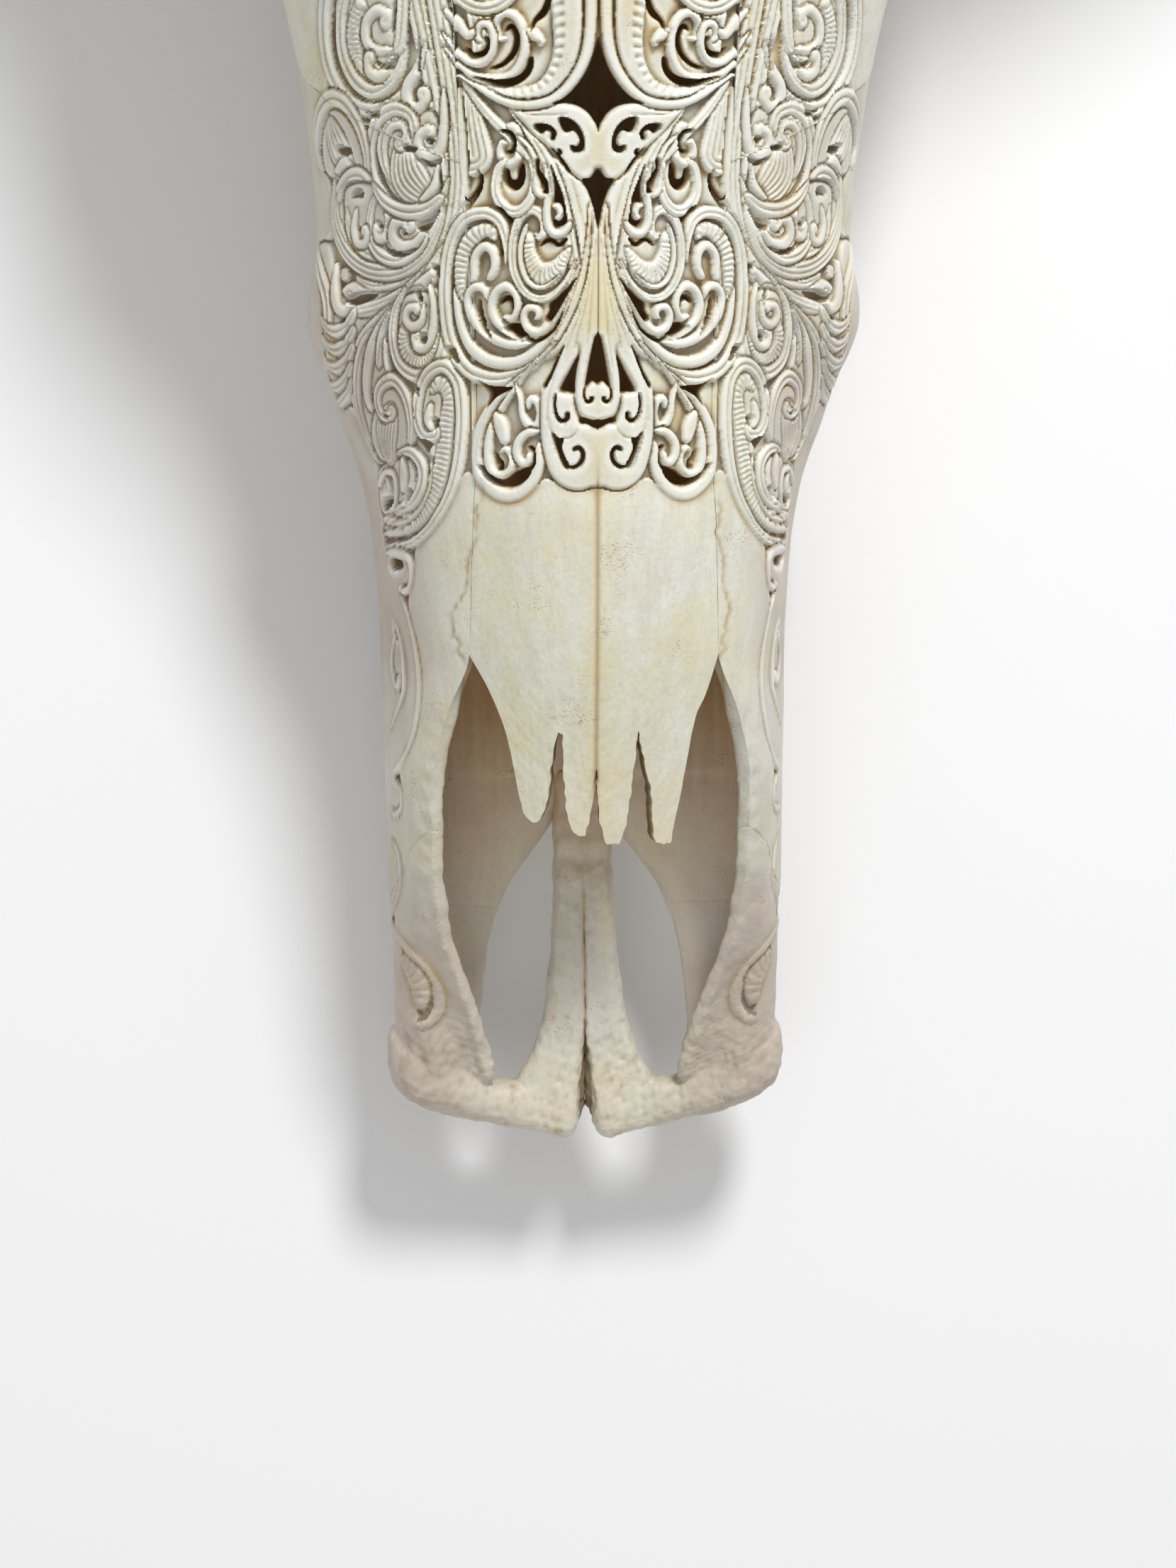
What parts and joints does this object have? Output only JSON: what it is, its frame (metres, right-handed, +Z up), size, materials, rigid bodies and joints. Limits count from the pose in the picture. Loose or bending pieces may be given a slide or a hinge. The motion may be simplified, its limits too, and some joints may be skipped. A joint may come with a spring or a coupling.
{
  "type": "carved buffalo skull",
  "caption": "Carved buffalo skull with swept-back horns and scrollwork over the face, lying forehead up on its cheek teeth and neck processes.",
  "frame": {"origin": "on the floor, under the middle of the skull's bounding box", "axes": "+X towards the animal's left, +Y from the muzzle to the back of the head, +Z up out of the forehead"},
  "size_m": [0.6592, 0.6706, 0.1716],
  "materials": {
    "bone": "dry cleaned bone, ivory cream with browner recesses, a soft satin sheen and fine grain along the head",
    "horn": "dark horn, ridged at the root and smoother and glossier towards the tip"
  },
  "bodies": {
    "root": {"braincase": "bone", "occipital": "bone", "maxilla_left": "bone", "maxilla_right": "bone", "premaxilla_left": "bone", "premaxilla_right": "bone", "nasal_left": "bone", "nasal_right": "bone", "frontal_left": "bone", "frontal_right": "bone", "lacrimal_left": "bone", "lacrimal_right": "bone", "zygomatic_left": "bone", "zygomatic_right": "bone", "horn_left": "horn", "horn_right": "horn"}
  },
  "joints": []
}
